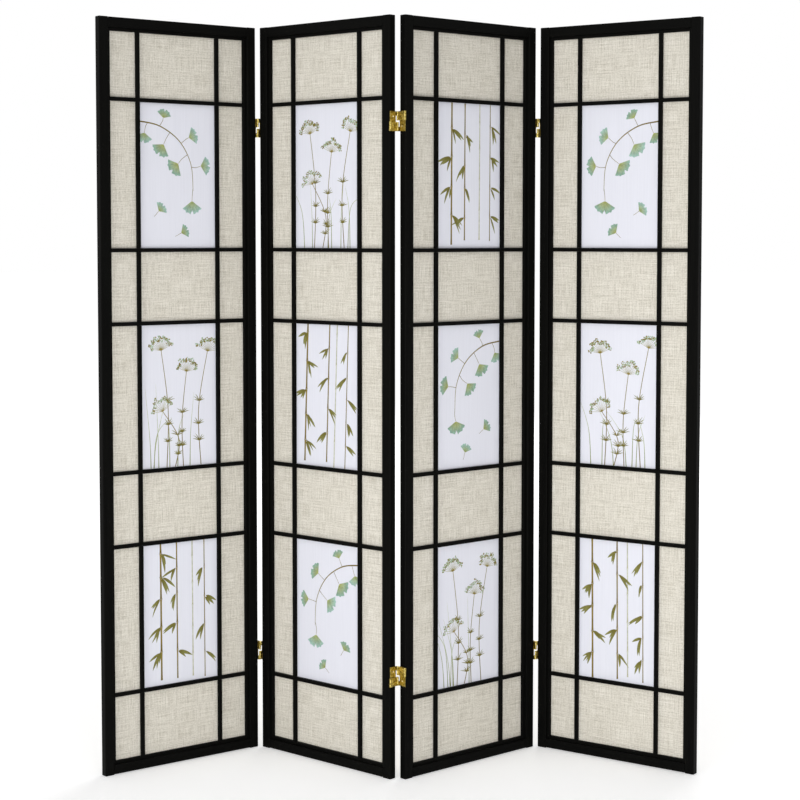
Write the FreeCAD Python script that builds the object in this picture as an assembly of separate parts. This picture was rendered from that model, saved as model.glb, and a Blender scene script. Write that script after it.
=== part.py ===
import FreeCAD
import Part
import math
import os

# Folding screen of four papered lattice panels, standing in a zigzag.
# Units are millimetres. +Z is up, the viewer stands at -Y and looks along +Y.
# The origin is on the floor, under the middle of the standing screen.
#
# Each panel is first built in its own frame: x runs across it from its left edge,
# y runs into its thickness from the front face, and z runs up from the floor.

# ---- Driving dimensions: frame of one panel
panel_width = 432.0
panel_height = 1785.0
panel_thickness = 19.0
stile_width = 24.0
top_rail_height = 24.0
bottom_rail_height = 22.5
foot_length = 1.5             # the stiles stand on the floor, the bottom rail is clear of it
head_length = 0.5             # the stiles rise this far over the top rail
arris_chamfer = 1.2           # eases the frame's long edges
end_chamfer = 0.8             # round the feet and heads of the stiles
tenon_length = 15.0
tenon_thickness = 6.5
tenon_shoulder = 4.0          # step above and below a rail's tenon
tenon_clearance = 0.1         # glue gap all round a tenon in its mortise

# ---- Driving dimensions: lattice
border_width = 7.4            # strip that lines the frame's opening
bar_width = 9.3
lattice_recess = 6.4          # from the frame's front face to the lattice
bar_chamfer = 0.8             # along the front edges of the bars
side_column_width = 70.35     # clear width of the two outer columns of cells
end_row_height = 152.5        # clear height of the top and bottom rows
short_row_height = 164.7      # clear height of the two rows between the pictures
stub_length = 2.5             # how far a bar's end is let into the border
stub_thickness = 2.6
stub_clearance = 0.05
lap_clearance = 0.05          # play of the crossing bars' half laps

# ---- Driving dimensions: papers and the beads that hold them
print_thickness = 0.3
linen_thickness = 0.5
print_lap = 4.0               # how far a picture sheet reaches behind its bars
bead_width = 8.0
bead_depth = 3.5
bead_setback = 0.5            # from the frame's back face

# ---- Driving dimensions: double-action hinge
hinge_height = 46.0
hinge_end_distance = 244.0    # from the middle of a hinge to the panel's nearer end
half_gap = 4.0                # between the upper and the lower half of a hinge
leaf_thickness = 1.2
link_thickness = 1.2
knuckle_radius = 2.6
knuckle_end_play = 0.3        # between neighbouring knuckles
knuckle_clearance = 0.4       # round a knuckle, to everything that turns past it
knuckle_standoff = 0.1        # further out than that, from the frame's face to the pins
pin_radius = 1.2
pin_running_clearance = 0.05
screw_spacing = 22.0          # up and down, between the two screw holes of a leaf
screw_depth = 11.0            # from the frame's front face
screw_hole_radius = 1.2       # at the bottom of the countersink
screw_head_radius = 2.3       # at its mouth; it is as deep as the leaf is thick
link_hole_radius = 2.8        # lets a screwdriver reach the screw behind the link
rod_sides = 8                 # of the pins, and of the holes of the hinge
cut_over = 1.0                # how far a cut runs on past what it cuts

# ---- Driving dimensions: how the screen stands, as the turn of each panel about Z in degrees
panel_turns = [38.0, -42.0, 42.0, -35.5]

# ---- Worked out from the driving dimensions
opening_left = stile_width + border_width
opening_right = panel_width - stile_width - border_width
rail_under = foot_length
rail_over = panel_height - head_length
inner_bottom = rail_under + bottom_rail_height
inner_top = rail_over - top_rail_height
opening_bottom = inner_bottom + border_width
opening_top = inner_top - border_width

linen_back = panel_thickness - bead_setback - bead_depth
linen_front = linen_back - linen_thickness
lattice_back = linen_front - print_thickness
lattice_depth = lattice_back - lattice_recess
lap_depth = lattice_recess + lattice_depth / 2.0
stub_front = lattice_recess + (lattice_depth - stub_thickness) / 2.0

upright_lefts = [opening_left + side_column_width,
                 opening_right - side_column_width - bar_width]
rows_clear = opening_top - opening_bottom - 6.0 * bar_width
print_row_height = (rows_clear - 2.0 * end_row_height - 2.0 * short_row_height) / 3.0
row_heights = [end_row_height, print_row_height, short_row_height, print_row_height,
               short_row_height, print_row_height, end_row_height]
print_rows = range(1, len(row_heights), 2)
row_bottoms = [opening_bottom]
for row_height in row_heights[:-1]:
    row_bottoms.append(row_bottoms[-1] + row_height + bar_width)
crossbar_bottoms = [bottom - bar_width for bottom in row_bottoms[1:]]

hinge_half_width = leaf_thickness + knuckle_radius + knuckle_clearance
hinge_axis_out = knuckle_radius + knuckle_clearance + knuckle_standoff
front_axis = -hinge_axis_out
back_axis = panel_thickness + hinge_axis_out
hinge_middles = [hinge_end_distance, panel_height - hinge_end_distance]
half_height = (hinge_height - half_gap) / 2.0
knuckle_height = (half_height - knuckle_end_play) / 2.0
corner_reach = 1.0 / math.cos(math.pi / rod_sides)   # of a hole's corners, past its flats
bore_radius = (pin_radius + pin_running_clearance) * corner_reach

# A gap between two panels folds about its front pins (the back faces part) or about its
# back pins (the front faces part). The screen stands with these pins turned:
gap_axes = [front_axis, back_axis, front_axis]


def box(low, high):
    """A block between two opposite corners."""
    size = [high[i] - low[i] for i in range(3)]
    return Part.makeBox(size[0], size[1], size[2], FreeCAD.Vector(*low))


def ring_of_corners(radius, centre, first, second):
    """The closed outline of a regular shape of few sides, in the plane of two directions."""
    corners = []
    for i in range(rod_sides + 1):
        turn = 2.0 * math.pi * i / rod_sides
        corners.append(centre + first * (radius * math.cos(turn))
                       + second * (radius * math.sin(turn)))
    return Part.makePolygon(corners)


def upright_rod(radius, y, low, high):
    """A rod of few sides that stands in the middle of the gap between two heights."""
    outline = ring_of_corners(radius, FreeCAD.Vector(0.0, y, low),
                              FreeCAD.Vector(1.0, 0.0, 0.0), FreeCAD.Vector(0.0, 1.0, 0.0))
    return Part.Face(outline).extrude(FreeCAD.Vector(0.0, 0.0, high - low))


def long_edges(solid, axis, keep):
    """The straight edges of a solid that run along an axis (0, 1, 2), filtered by keep."""
    found = []
    for edge in solid.Edges:
        ends = [vertex.Point for vertex in edge.Vertexes]
        if len(ends) != 2:
            continue
        run = ends[1] - ends[0]
        along = abs(run[axis])
        if along > 0.999 * run.Length and keep(edge.CenterOfMass):
            found.append(edge)
    return found


# ---- Frame of one panel

def mortise(x_open, deeper, rail_low, rail_height):
    """The slot in a stile for a rail's tenon; deeper is -1 or +1 along x."""
    x_end = x_open + deeper * (tenon_length + tenon_clearance)
    y_low = (panel_thickness - tenon_thickness) / 2.0 - tenon_clearance
    y_high = (panel_thickness + tenon_thickness) / 2.0 + tenon_clearance
    z_low = rail_low + tenon_shoulder - tenon_clearance
    z_high = rail_low + rail_height - tenon_shoulder + tenon_clearance
    return box((min(x_open, x_end), y_low, z_low), (max(x_open, x_end), y_high, z_high))


def stile(left):
    """An upright of the frame, with its mortises for the rails."""
    x_low = 0.0 if left else panel_width - stile_width
    solid = box((x_low, 0.0, 0.0), (x_low + stile_width, panel_thickness, panel_height))
    solid = solid.makeChamfer(arris_chamfer, long_edges(solid, 2, lambda middle: True))
    rims = [edge for edge in solid.Edges if edge.BoundBox.ZLength < arris_chamfer]
    solid = solid.makeChamfer(end_chamfer, rims)
    x_open = stile_width if left else panel_width - stile_width
    deeper = -1.0 if left else 1.0
    solid = solid.cut(mortise(x_open, deeper, rail_under, bottom_rail_height))
    return solid.cut(mortise(x_open, deeper, inner_top, top_rail_height))


def rail(low, height):
    """A cross rail of the frame, with a tenon at each end."""
    left = stile_width
    right = panel_width - stile_width
    solid = box((left, 0.0, low), (right, panel_thickness, low + height))
    solid = solid.makeChamfer(arris_chamfer, long_edges(solid, 0, lambda middle: True))
    y_low = (panel_thickness - tenon_thickness) / 2.0
    tenon = box((left - tenon_length, y_low, low + tenon_shoulder),
                (right + tenon_length, y_low + tenon_thickness, low + height - tenon_shoulder))
    return solid.fuse(tenon).removeSplitter()


# ---- Lattice of one panel

def stub_pocket(low, high):
    """A slot through the lattice's middle third, for the stub at a bar's end."""
    play = stub_clearance
    return box((low[0] - play, stub_front - play, low[1] - play),
               (high[0] + play, stub_front + stub_thickness + play, high[1] + play))


def border_strips():
    """The four strips that line the frame's opening, pocketed for the bars' stubs."""
    front = lattice_recess
    back = lattice_back
    sides = []
    for left in (stile_width, opening_right):
        side = box((left, front, inner_bottom), (left + border_width, back, inner_top))
        mouth = opening_left if left == stile_width else opening_right
        for low in crossbar_bottoms:
            pocket = stub_pocket((mouth - stub_length, low),
                                 (mouth + stub_length, low + bar_width))
            side = side.cut(pocket)
        sides.append(side)
    ends = []
    for low, mouth in ((inner_bottom, opening_bottom), (opening_top, opening_top)):
        end = box((opening_left, front, low), (opening_right, back, low + border_width))
        for left in upright_lefts:
            pocket = stub_pocket((left, mouth - stub_length),
                                 (left + bar_width, mouth + stub_length))
            end = end.cut(pocket)
        ends.append(end)
    return sides + ends


def bar(low, high, along):
    """A lattice bar along x (0) or z (2), chamfered in front, with a stub at each end."""
    start = [low[0], lattice_recess, low[1]]
    end = [high[0], lattice_back, high[1]]
    solid = box(start, end)
    front_edges = long_edges(solid, along, lambda middle: middle.y < lattice_recess + 0.01)
    solid = solid.makeChamfer(bar_chamfer, front_edges)
    start[1] = stub_front
    end[1] = stub_front + stub_thickness
    start[along] -= stub_length
    end[along] += stub_length
    return solid.fuse(box(start, end)).removeSplitter()


def uprights():
    """The two upright bars, cut away in front wherever a crossbar passes."""
    bars = []
    for left in upright_lefts:
        solid = bar((left, opening_bottom), (left + bar_width, opening_top), 2)
        for low in crossbar_bottoms:
            notch = box((left - cut_over, lattice_recess - cut_over, low - lap_clearance),
                        (left + bar_width + cut_over, lap_depth,
                         low + bar_width + lap_clearance))
            solid = solid.cut(notch)
        bars.append(solid)
    return bars


def crossbars():
    """The six crossbars, cut away behind wherever an upright passes."""
    bars = []
    for low in crossbar_bottoms:
        solid = bar((opening_left, low), (opening_right, low + bar_width), 0)
        for left in upright_lefts:
            notch = box((left - lap_clearance, lap_depth, low - cut_over),
                        (left + bar_width + lap_clearance, lattice_back + cut_over,
                         low + bar_width + cut_over))
            solid = solid.cut(notch)
        bars.append(solid)
    return bars


# ---- Papers of one panel and the beads behind them

def linen_sheet():
    """The woven sheet behind the whole lattice."""
    return box((stile_width, linen_front, inner_bottom),
               (panel_width - stile_width, linen_back, inner_top))


def print_sheets():
    """The three picture sheets behind the tall cells of the middle column."""
    left = upright_lefts[0] + bar_width - print_lap
    right = upright_lefts[1] + print_lap
    sheets = []
    for row in print_rows:
        low = row_bottoms[row] - print_lap
        high = row_bottoms[row] + row_heights[row] + print_lap
        sheets.append(box((left, lattice_back, low), (right, linen_front, high)))
    return sheets


def back_beads():
    """Four beads round the back that press the papers against the lattice."""
    front = linen_back
    back = linen_back + bead_depth
    left = stile_width
    right = panel_width - stile_width
    beads = [box((left, front, inner_bottom), (left + bead_width, back, inner_top)),
             box((right - bead_width, front, inner_bottom), (right, back, inner_top)),
             box((left + bead_width, front, inner_bottom),
                 (right - bead_width, back, inner_bottom + bead_width)),
             box((left + bead_width, front, inner_top - bead_width),
                 (right - bead_width, back, inner_top))]
    eased = []
    for bead in beads:
        along = 0 if bead.BoundBox.XLength > bead.BoundBox.ZLength else 2
        inward = long_edges(bead, along, lambda middle: middle.y > back - 0.01)
        eased.append(bead.makeChamfer(bar_chamfer, inward))
    return eased


# ---- Double-action hinge between two panels
# Its frame: x is 0 halfway between the two closed panels, y and z are as in a panel.
# side is -1 for the panel on the left of the gap and +1 for the one on its right.

def knuckle_slots(middle, upper):
    """The heights of the two knuckles on one pin: the leaf's outer one and the link's."""
    if upper:
        low = middle + half_gap / 2.0
        leaf_low = low + knuckle_height + knuckle_end_play
        link_low = low
    else:
        leaf_low = middle - half_gap / 2.0 - half_height
        link_low = leaf_low + knuckle_height + knuckle_end_play
    return (leaf_low, leaf_low + knuckle_height), (link_low, link_low + knuckle_height)


def screw_heights(middle):
    """The heights of the two screw holes of one leaf."""
    return [middle - screw_spacing / 2.0, middle + screw_spacing / 2.0]


def leaf_axis(side, upper):
    """The pin that a leaf holds: the left leaf the upper back one and the lower front one."""
    at_back = upper if side < 0 else not upper
    return back_axis if at_back else front_axis


def across(side, start, end):
    """An interval along x, measured from the middle of the gap towards the leaf's own side."""
    return min(side * start, side * end), max(side * start, side * end)


def knuckle(axis, low, high):
    """A knuckle on a pin: round where it shows, and of few sides towards the frame."""
    outward = math.copysign(1.0, axis)
    corners = []
    for i in range(rod_sides - 2):
        turn = 2.0 * math.pi * (i + 1.5) / rod_sides    # the three sides round the crest are an arc
        corners.append(FreeCAD.Vector(knuckle_radius * math.sin(turn),
                                      axis + outward * knuckle_radius * math.cos(turn), low))
    crest = FreeCAD.Vector(0.0, axis + outward * knuckle_radius, low)
    outline = [Part.makePolygon(corners), Part.Arc(corners[-1], crest, corners[0]).toShape()]
    return Part.Face(Part.Wire(outline)).extrude(FreeCAD.Vector(0.0, 0.0, high - low))


def bore(axis, low, high):
    """The hole for a pin, run on past both ends of its knuckle."""
    return upright_rod(bore_radius, axis, low - cut_over, high + cut_over)


def hole_across(near_x, far_x, near_radius, far_radius, height):
    """A hole of few sides through a plate of the hinge, which may narrow like a countersink."""
    rims = []
    for x, radius in ((near_x, near_radius), (far_x, far_radius)):
        rims.append(ring_of_corners(radius * corner_reach,
                                    FreeCAD.Vector(x, screw_depth, height),
                                    FreeCAD.Vector(0.0, 1.0, 0.0), FreeCAD.Vector(0.0, 0.0, 1.0)))
    return Part.makeLoft(rims, True, True)


def leaf(side, middle):
    """A leaf: a plate on the stile's edge face that ends in a knuckle on each of two pins."""
    low = middle - hinge_height / 2.0
    high = middle + hinge_height / 2.0
    inner = hinge_half_width - leaf_thickness
    plate_low, plate_high = across(side, inner, hinge_half_width)
    web_low, web_high = across(side, 0.0, hinge_half_width)
    solid = box((plate_low, 0.0, low), (plate_high, panel_thickness, high))
    for upper in (False, True):
        axis = leaf_axis(side, upper)
        slot_low, slot_high = knuckle_slots(middle, upper)[0]
        face = panel_thickness if axis > 0.0 else 0.0
        web_edge = axis + math.copysign(leaf_thickness / 2.0, axis)
        tongue = box((plate_low, min(face, web_edge), slot_low),
                     (plate_high, max(face, web_edge), slot_high))
        web = box((web_low, axis - leaf_thickness / 2.0, slot_low),
                  (web_high, axis + leaf_thickness / 2.0, slot_high))
        solid = solid.fuse([tongue, web, knuckle(axis, slot_low, slot_high)])
        solid = solid.cut(bore(axis, slot_low, slot_high))
    for height in screw_heights(middle):
        solid = solid.cut(hole_across(side * inner, side * hinge_half_width,
                                      screw_head_radius, screw_hole_radius, height))
    return solid.removeSplitter()


def link(middle, upper):
    """A link plate in the middle of the gap, from its front pin to its back pin."""
    (leaf_low, leaf_high), (link_low, link_high) = knuckle_slots(middle, upper)
    near = knuckle_radius + knuckle_clearance
    half = link_thickness / 2.0
    solid = box((-half, front_axis + near, min(leaf_low, link_low)),
                (half, back_axis - near, max(leaf_high, link_high)))
    solid = solid.fuse(box((-half, front_axis, link_low), (half, back_axis, link_high)))
    for axis in (front_axis, back_axis):
        solid = solid.fuse(knuckle(axis, link_low, link_high))
        solid = solid.cut(bore(axis, link_low, link_high))
    height = screw_heights(middle)[1 if upper else 0]
    solid = solid.cut(hole_across(-half, half, link_hole_radius, link_hole_radius, height))
    return solid.removeSplitter()


def pin(side, middle, upper):
    """The pin that one leaf holds in one half of the hinge."""
    slots = knuckle_slots(middle, upper)
    return upright_rod(pin_radius, leaf_axis(side, upper),
                       min(low for low, high in slots), max(high for low, high in slots))


def moved_to_edge(solid, side):
    """Takes a piece from the hinge's frame to the frame of the panel on that side."""
    x = panel_width + hinge_half_width if side < 0 else -hinge_half_width
    moved = solid.copy()
    moved.translate(FreeCAD.Vector(x, 0.0, 0.0))
    return moved


def hinge_pieces(panel):
    """The hinge pieces that one panel carries, in its own frame, sorted by kind."""
    kinds = {"hinge_leaves": [], "hinge_links": [], "hinge_pins": []}
    edges = []
    if panel > 0:
        edges.append((1.0, gap_axes[panel - 1]))
    if panel < 3:
        edges.append((-1.0, gap_axes[panel]))
    for side, turned_axis in edges:
        # A link stays in line with the panel whose leaf holds its resting pin.
        folds_on_front = turned_axis == front_axis
        carries_upper = folds_on_front if side < 0 else not folds_on_front
        for middle in hinge_middles:
            made = {"hinge_leaves": [leaf(side, middle)],
                    "hinge_links": [link(middle, carries_upper)],
                    "hinge_pins": [pin(side, middle, upper) for upper in (False, True)]}
            for kind, solids in made.items():
                kinds[kind] += [moved_to_edge(solid, side) for solid in solids]
    return kinds


# ---- Standing the panels in their zigzag

def to_screen(place, x, y):
    """A panel's point in plan, seen in the screen's frame."""
    turn = math.radians(place[2])
    return (place[0] + x * math.cos(turn) - y * math.sin(turn),
            place[1] + x * math.sin(turn) + y * math.cos(turn))


def panel_places():
    """The plan position and turn of each panel, chained from pin to pin."""
    places = [(0.0, 0.0, panel_turns[0])]
    for gap, axis in enumerate(gap_axes):
        pin_place = to_screen(places[gap], panel_width + hinge_half_width, axis)
        turn = panel_turns[gap + 1]
        offset = to_screen((0.0, 0.0, turn), -hinge_half_width, axis)
        places.append((pin_place[0] - offset[0], pin_place[1] - offset[1], turn))
    return places


def stood_up(solid, place):
    """Takes a solid from a panel's frame to the screen's frame."""
    standing = solid.copy()
    standing.rotate(FreeCAD.Vector(0.0, 0.0, 0.0), FreeCAD.Vector(0.0, 0.0, 1.0), place[2])
    standing.translate(FreeCAD.Vector(place[0], place[1], 0.0))
    return standing


def build():
    """Every node of the screen: its name and its solids, centred over the origin."""
    shared = {"left_stile": [stile(True)],
              "right_stile": [stile(False)],
              "top_rail": [rail(inner_top, top_rail_height)],
              "bottom_rail": [rail(rail_under, bottom_rail_height)],
              "lattice_border": border_strips(),
              "lattice_uprights": uprights(),
              "lattice_crossbars": crossbars(),
              "linen_sheet": [linen_sheet()],
              "print_sheets": print_sheets(),
              "back_beads": back_beads()}
    places = panel_places()
    nodes = {}
    for panel, place in enumerate(places):
        pieces = dict(shared)
        pieces.update(hinge_pieces(panel))
        for kind, solids in pieces.items():
            name = "panel_%d_%s" % (panel + 1, kind)
            nodes[name] = [stood_up(solid, place) for solid in solids]

    everything = Part.makeCompound([solid for solids in nodes.values() for solid in solids])
    bounds = everything.optimalBoundingBox(False, False)
    shift = FreeCAD.Vector(-(bounds.XMin + bounds.XMax) / 2.0,
                           -(bounds.YMin + bounds.YMax) / 2.0, 0.0)
    for solids in nodes.values():
        for solid in solids:
            solid.translate(shift)

    print("size %.2f x %.2f x %.2f" % (bounds.XLength, bounds.YLength, bounds.ZLength))
    for gap, axis in enumerate(gap_axes):
        x, y = to_screen(places[gap], panel_width + hinge_half_width, axis)
        print("pins of gap %d stand at %.4f, %.4f" % (gap + 1, x + shift.x, y + shift.y))
    x, y = to_screen(places[1], stile_width / 2.0, panel_thickness / 2.0)
    print("middle of panel 2's left foot is at %.4f, %.4f" % (x + shift.x, y + shift.y))
    return nodes


os.makedirs("parts", exist_ok=True)
for node_name, node_solids in build().items():
    node_shape = node_solids[0] if len(node_solids) == 1 else Part.makeCompound(node_solids)
    node_shape.exportStep("parts/%s.step" % node_name)
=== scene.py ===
import math
import random

import bmesh
import bpy
from mathutils import Matrix, Vector


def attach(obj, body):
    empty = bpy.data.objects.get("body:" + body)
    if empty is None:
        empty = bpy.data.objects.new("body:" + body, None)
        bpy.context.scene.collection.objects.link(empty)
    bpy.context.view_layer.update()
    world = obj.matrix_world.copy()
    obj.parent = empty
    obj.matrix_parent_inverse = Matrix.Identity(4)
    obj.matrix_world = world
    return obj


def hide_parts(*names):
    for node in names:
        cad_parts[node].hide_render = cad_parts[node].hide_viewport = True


# Folding screen of four papered lattice panels in black lacquered frames, joined by
# double-action brass hinges. Lengths here are metres; MM turns a size in millimetres into one.
# A panel's pieces are made in its own frame, x across it from its left edge, y from its front
# face back and z up from the floor, and then stood where the frame holds that panel.

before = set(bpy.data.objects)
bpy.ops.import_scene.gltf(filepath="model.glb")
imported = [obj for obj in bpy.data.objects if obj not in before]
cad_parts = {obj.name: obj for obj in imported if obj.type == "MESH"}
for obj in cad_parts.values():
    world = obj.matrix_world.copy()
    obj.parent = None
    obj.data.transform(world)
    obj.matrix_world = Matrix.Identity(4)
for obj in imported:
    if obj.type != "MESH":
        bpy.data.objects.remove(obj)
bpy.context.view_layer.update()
scene = bpy.context.scene

MM = 0.001
PANELS = (1, 2, 3, 4)
WELD = 0.001 * MM                 # corners of the frame's meshes nearer than this are one
CUT_WELD = 0.002 * MM             # the same after solids are joined or cut

# ---- Sizes that the frame doesn't give
FRAME_ROUNDING = 1.8 * MM         # of the arrises of stiles and rails
BAR_ROUNDING = 0.7 * MM           # of the lattice, its border and the beads
JOINT_LINE = 0.12 * MM            # hairline where one stick butts against another
BORDER_WIDTH = 7.4 * MM           # strip that lines the opening
BEAD_WIDTH = 8.0 * MM             # bead behind the papers
PANEL_DEPTH = 19.0 * MM
LINEN_PITCH = 12.0 * MM           # of the grid that makes up a linen sheet
PICTURE_PITCH = 30.0 * MM
GRAIN_STEP = 3.7                  # metres from one panel's share of the grain to the next's
WEAVE_STEP = 1.9                  # the same for the weave

# A hinge's own frame: x from halfway between two closed panels to the right, y from the
# panels' front faces back, z up from its middle.
HALF_WIDTH = 4.2 * MM             # from the middle of the gap to a panel's edge face
PLATE = 1.2 * MM                  # thickness of leaves and links
AXIS_OUT = 3.1 * MM               # from a panel's face out to the pins
KNUCKLE_RADIUS = 2.6 * MM
BORE_RADIUS = 1.3 * MM
PIN_RADIUS = 1.2 * MM
LEAF_SLOT = (12.65 * MM, 23.0 * MM)    # heights of a leaf's knuckle, above the middle
LINK_SLOT = (2.0 * MM, 12.35 * MM)     # heights of a link's knuckles
NECK = 3.0 * MM                   # a link's plate stops this far from its pins beside a leaf
SCREW_DEPTH = 11.0 * MM           # of the screws, from the front face
SCREW_HEIGHT = 11.0 * MM          # of the screws, above and below the middle
SCREW_HEAD = 2.25 * MM            # radius
SINK_PLAY = 0.1 * MM              # round the head in its countersink
SHANK_HOLE = 1.25 * MM            # radius
OVERRUN = 1.0 * MM                # a cutting tool reaches this far past a leaf
ACCESS_RADIUS = 2.8 * MM          # hole in a link for the screwdriver
ROLL_STEPS = 22                   # facets round a knuckle
LEAF_SEAM = 5.0                   # degrees that a leaf's knuckle stays open
LINK_SEAM = 8.0                   # degrees that a link's knuckle stays open
CREASE = 32.0                     # degrees; a sharper edge of the brass stays crisp
WEB_MEETS = math.sqrt(KNUCKLE_RADIUS ** 2 - (PLATE / 2.0) ** 2)    # a strip's face and its roll
# Radii and distances from the end of a pin.
PIN_END = ((0.5 * MM, 0.0), (0.95 * MM, 0.15 * MM), (PIN_RADIUS, 0.5 * MM))
# Radii and heights of a screw, up to its cross recess.
SCREW_PROFILE = ((0.9 * MM, -2.6 * MM), (1.15 * MM, -1.2 * MM), (SCREW_HEAD, 0.0),
                 (SCREW_HEAD - 0.25 * MM, 0.35 * MM), (SCREW_HEAD - 0.65 * MM, 0.6 * MM))
RECESS = (0.75 * MM, -0.5 * MM, 0.75)    # heights of rim and floor, and the floor's taper

# ---- The camera, which looks along +Y from in front of the screen
SENSOR = 36.0                     # mm
LENS = 84.88                      # mm
CAMERA_BACK = 4.520
CAMERA_HEIGHT = 1.278
CAMERA_SHIFT = -0.068             # of the picture's width; the rest of the downward look is tilt
CAMERA_TILT = math.radians(3.347)

# ---- The light, fitted to the brightness of the photographed cells
LAMPS = (("key", (-3.6, -5.4, 2.2), (0.0, 0.0, 0.9), 3.2, 102.0),    # place, aim, size, watts
         ("fill", (0.2, -2.4, 0.4), (0.0, 0.0, 0.4), 0.7, 19.0),
         ("back", (2.6, 7.0, 4.0), (0.0, 0.0, 0.9), 4.0, 230.0))
WORLD_LIGHT = 0.57                # strength for all but what is seen directly, which is 1
FLOOR_REACH = 60.0
FLOOR_GLOW = (0.32, 0.5)          # near the screen and far from it
GLOW_RANGE = (1.2, 5.0)           # metres from the middle between which the glow grows


# ---- Nodes

def add(tree, kind, inputs=None, **settings):
    """Adds a node. inputs are values or other nodes' outputs, by the input's name or number."""
    node = tree.nodes.new(kind)
    for name, value in settings.items():
        setattr(node, name, value)
    for key, value in (inputs or {}).items():
        if isinstance(value, bpy.types.NodeSocket):
            tree.links.new(value, node.inputs[key])
        else:
            node.inputs[key].default_value = value
    return node


def linear(code):
    """An sRGB hex colour as the linear colour that the shaders take."""
    shares = [int(code[i:i + 2], 16) / 255.0 for i in (1, 3, 5)]
    return tuple(c / 12.92 if c <= 0.04045 else ((c + 0.055) / 1.055) ** 2.4
                 for c in shares) + (1.0,)


def finish_of(name, **values):
    """A new material and its tree and surface shader, with the shader's own values set."""
    material = bpy.data.materials.new(name)
    material.use_nodes = True
    tree = material.node_tree
    surface = tree.nodes["Principled BSDF"]
    for key, value in values.items():
        surface.inputs[key.replace("_", " ")].default_value = value
    return material, tree, surface


# ---- Where the panels stand

def node_name(panel, kind):
    return "panel_%d_%s" % (panel, kind)


def node_points(panel, kind):
    """The points of a CAD node of one panel."""
    return [vertex.co.copy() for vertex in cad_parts[node_name(panel, kind)].data.vertices]


def extent(points):
    """The lowest and highest corner of some points."""
    return (Vector([min(p[i] for p in points) for i in range(3)]),
            Vector([max(p[i] for p in points) for i in range(3)]))


def panel_place(panel):
    """The matrix that stands a panel's own frame in the screen."""
    sheet = sorted(node_points(panel, "linen_sheet"), key=lambda point: point.x)
    half = len(sheet) // 2
    run = sum(sheet[half:], Vector()) / half - sum(sheet[:half], Vector()) / half
    turned = Matrix.Rotation(math.atan2(run.y, run.x), 4, "Z")
    stile = [turned.inverted() @ point for point in node_points(panel, "left_stile")]
    corner = Vector((min(p.x for p in stile), min(p.y for p in stile), 0.0))
    return Matrix.Translation(turned @ corner) @ turned


places = {panel: panel_place(panel) for panel in PANELS}


def solids(panel, kind):
    """The lowest and highest corner of each solid of a node, in the panel's own frame."""
    mesh = bmesh.new()
    mesh.from_mesh(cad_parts[node_name(panel, kind)].data)
    bmesh.ops.remove_doubles(mesh, verts=mesh.verts, dist=WELD)
    home = places[panel].inverted()
    left = set(mesh.verts)
    found = []
    while left:
        front = [left.pop()]
        island = []
        while front:
            vertex = front.pop()
            island.append(home @ vertex.co)
            for edge in vertex.link_edges:
                other = edge.other_vert(vertex)
                if other in left:
                    left.remove(other)
                    front.append(other)
        found.append(extent(island))
    mesh.free()
    return sorted(found, key=lambda box: (round(box[0].z, 4), round(box[0].x, 4)))


def ring(panel, kind, width):
    """The boxes of two upright strips and two level ones between them that make up a node."""
    home = places[panel].inverted()
    low, high = extent([home @ point for point in node_points(panel, kind)])
    steps = low, low + Vector((width, 0.0, width)), high - Vector((width, 0.0, width)), high
    return [(Vector((steps[a].x, low.y, steps[b].z)), Vector((steps[c].x, high.y, steps[d].z)))
            for a, b, c, d in ((0, 0, 1, 3), (2, 0, 3, 3), (1, 0, 2, 1), (1, 2, 2, 3))]


# ---- Materials

def black_lacquer():
    """Satin black lacquer sprayed on softwood: deep and even, the grain just telegraphs."""
    material, tree, surface = finish_of("satin_black_lacquer_on_wood", Specular_IOR_Level=0.02)
    uv = add(tree, "ShaderNodeUVMap", uv_map="grain")
    # Grain runs along the stick: pores about 1 mm wide and 30 mm long, cloudiness 9 mm wide.
    fine = add(tree, "ShaderNodeMapping",
               {"Vector": uv.outputs[0], "Scale": (1 / (30 * MM), 1 / (1.2 * MM), 1.0)})
    grain = add(tree, "ShaderNodeTexNoise",
                {"Vector": fine.outputs[0], "Scale": 1.0, "Detail": 4.0})
    broad = add(tree, "ShaderNodeMapping",
                {"Vector": uv.outputs[0], "Scale": (1 / (220 * MM), 1 / (9 * MM), 1.0)})
    cloudy = add(tree, "ShaderNodeTexNoise", {"Vector": broad.outputs[0], "Scale": 1.0})
    tone = add(tree, "ShaderNodeMix", {"Factor": cloudy.outputs["Fac"],
                                       6: linear("#080808"), 7: linear("#11110F")},
               data_type="RGBA")
    tree.links.new(tone.outputs[2], surface.inputs["Base Color"])
    rough = add(tree, "ShaderNodeMapRange",
                {"Value": grain.outputs["Fac"], "To Min": 0.32, "To Max": 0.5})
    tree.links.new(rough.outputs[0], surface.inputs["Roughness"])
    bump = add(tree, "ShaderNodeBump", {"Height": grain.outputs["Fac"], "Strength": 0.25,
                                        "Distance": 0.15 * MM})
    tree.links.new(bump.outputs[0], surface.inputs["Normal"])
    return material


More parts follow.
